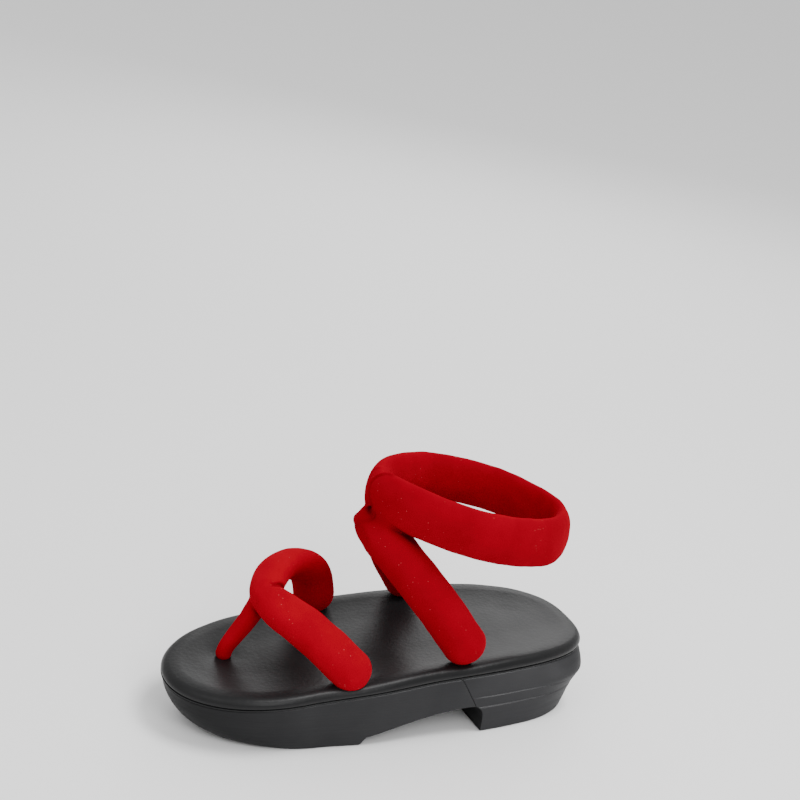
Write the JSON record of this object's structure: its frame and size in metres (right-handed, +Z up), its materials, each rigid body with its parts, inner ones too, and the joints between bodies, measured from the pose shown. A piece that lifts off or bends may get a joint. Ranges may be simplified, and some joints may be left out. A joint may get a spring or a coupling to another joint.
{
  "type": "geta sandal",
  "caption": "Left geta sandal with a moulded black platform sole cut away under the arch, a padded footbed, and padded red plush straps over the toes and around the ankle.",
  "frame": {"origin": "on the ground under the middle of the sole's length and width", "axes": "+Z up, toe towards -Y and heel towards +Y, +X towards the outer side of a left foot"},
  "size_m": [0.099, 0.26, 0.155],
  "materials": {
    "sole_foam": "satin moulded foam, fine lengthways streaks",
    "footbed_cover": "soft satin synthetic leather, fine grain",
    "strap_plush": "short-pile red plush, matt with a soft nap"
  },
  "bodies": {
    "root": {"platform": "sole_foam", "footbed": "footbed_cover", "toe_strap": "strap_plush", "ankle_strap": "strap_plush"}
  },
  "joints": []
}
